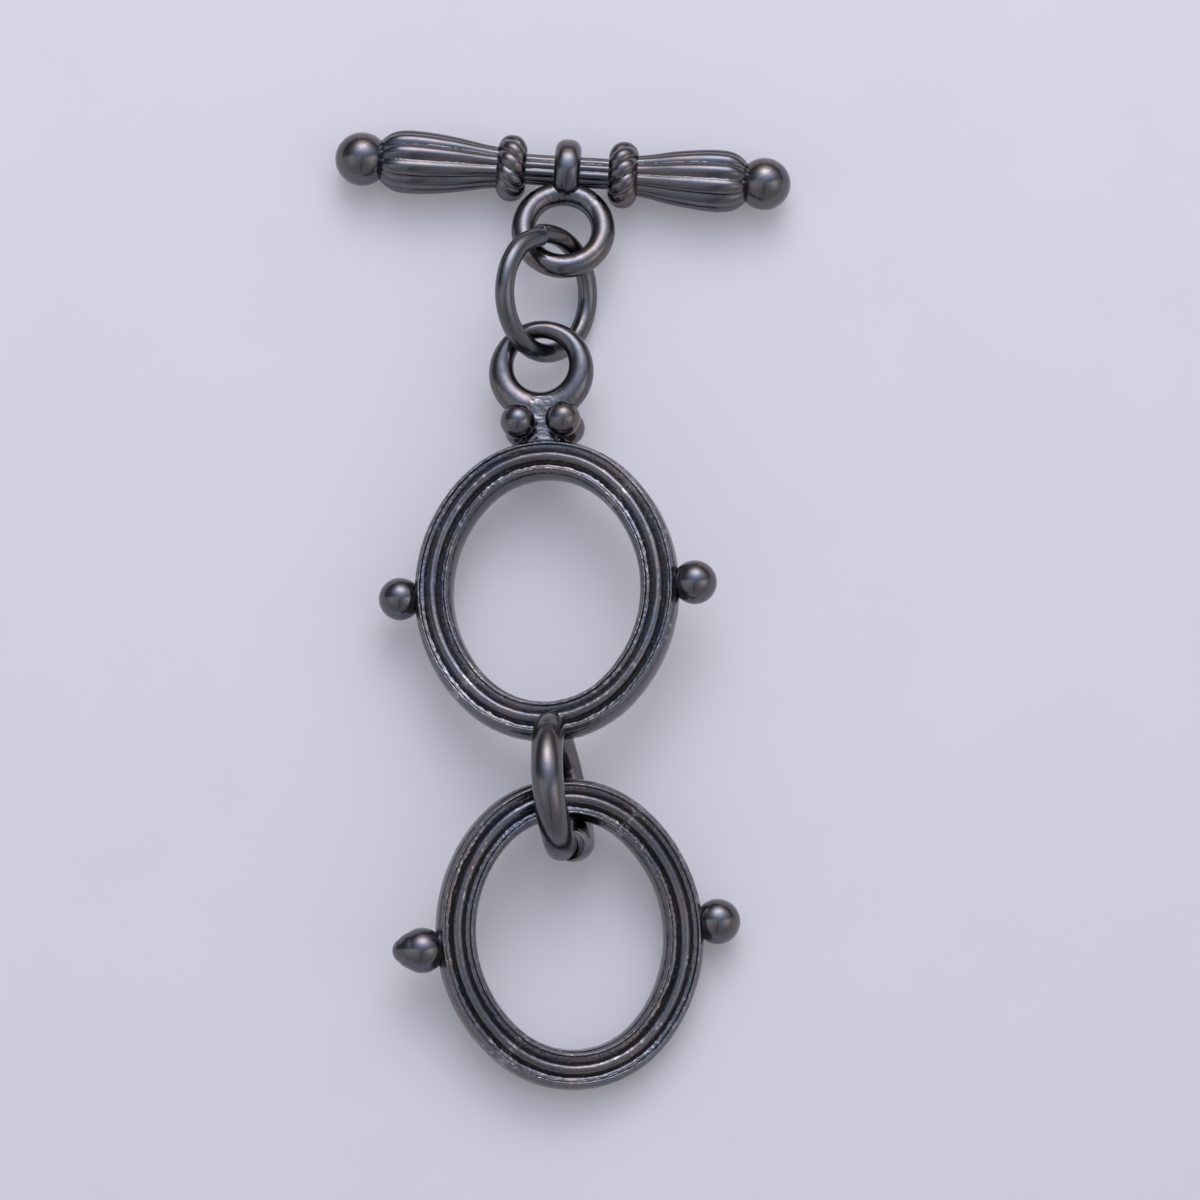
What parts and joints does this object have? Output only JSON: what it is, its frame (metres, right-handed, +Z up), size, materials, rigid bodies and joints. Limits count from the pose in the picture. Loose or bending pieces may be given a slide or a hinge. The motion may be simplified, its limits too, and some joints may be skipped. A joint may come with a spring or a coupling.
{
  "type": "toggle clasp",
  "caption": "Dark plated toggle clasp lying flat: a lobed T bar with rope collars and an eye, linked by a jump ring to a moulded oval ring with side balls, and that to a second oval ring",
  "frame": {"origin": "on the surface the clasp lies on, under the middle of its bounding box", "axes": "+Z up from the surface, +Y from the lower oval towards the T bar, +X to the right end of the bar seen from above with the bar at the far end"},
  "size_m": [0.0204, 0.0434, 0.0067],
  "materials": {
    "gunmetal_cast": "glossy gunmetal plating on cast metal, grainy in the channels and grooves",
    "gunmetal_wire": "glossy gunmetal plating on drawn wire"
  },
  "bodies": {
    "root": {"toggle_bar": "gunmetal_cast", "jump_ring": "gunmetal_wire", "upper_oval": "gunmetal_cast", "lower_oval": "gunmetal_cast"}
  },
  "joints": []
}
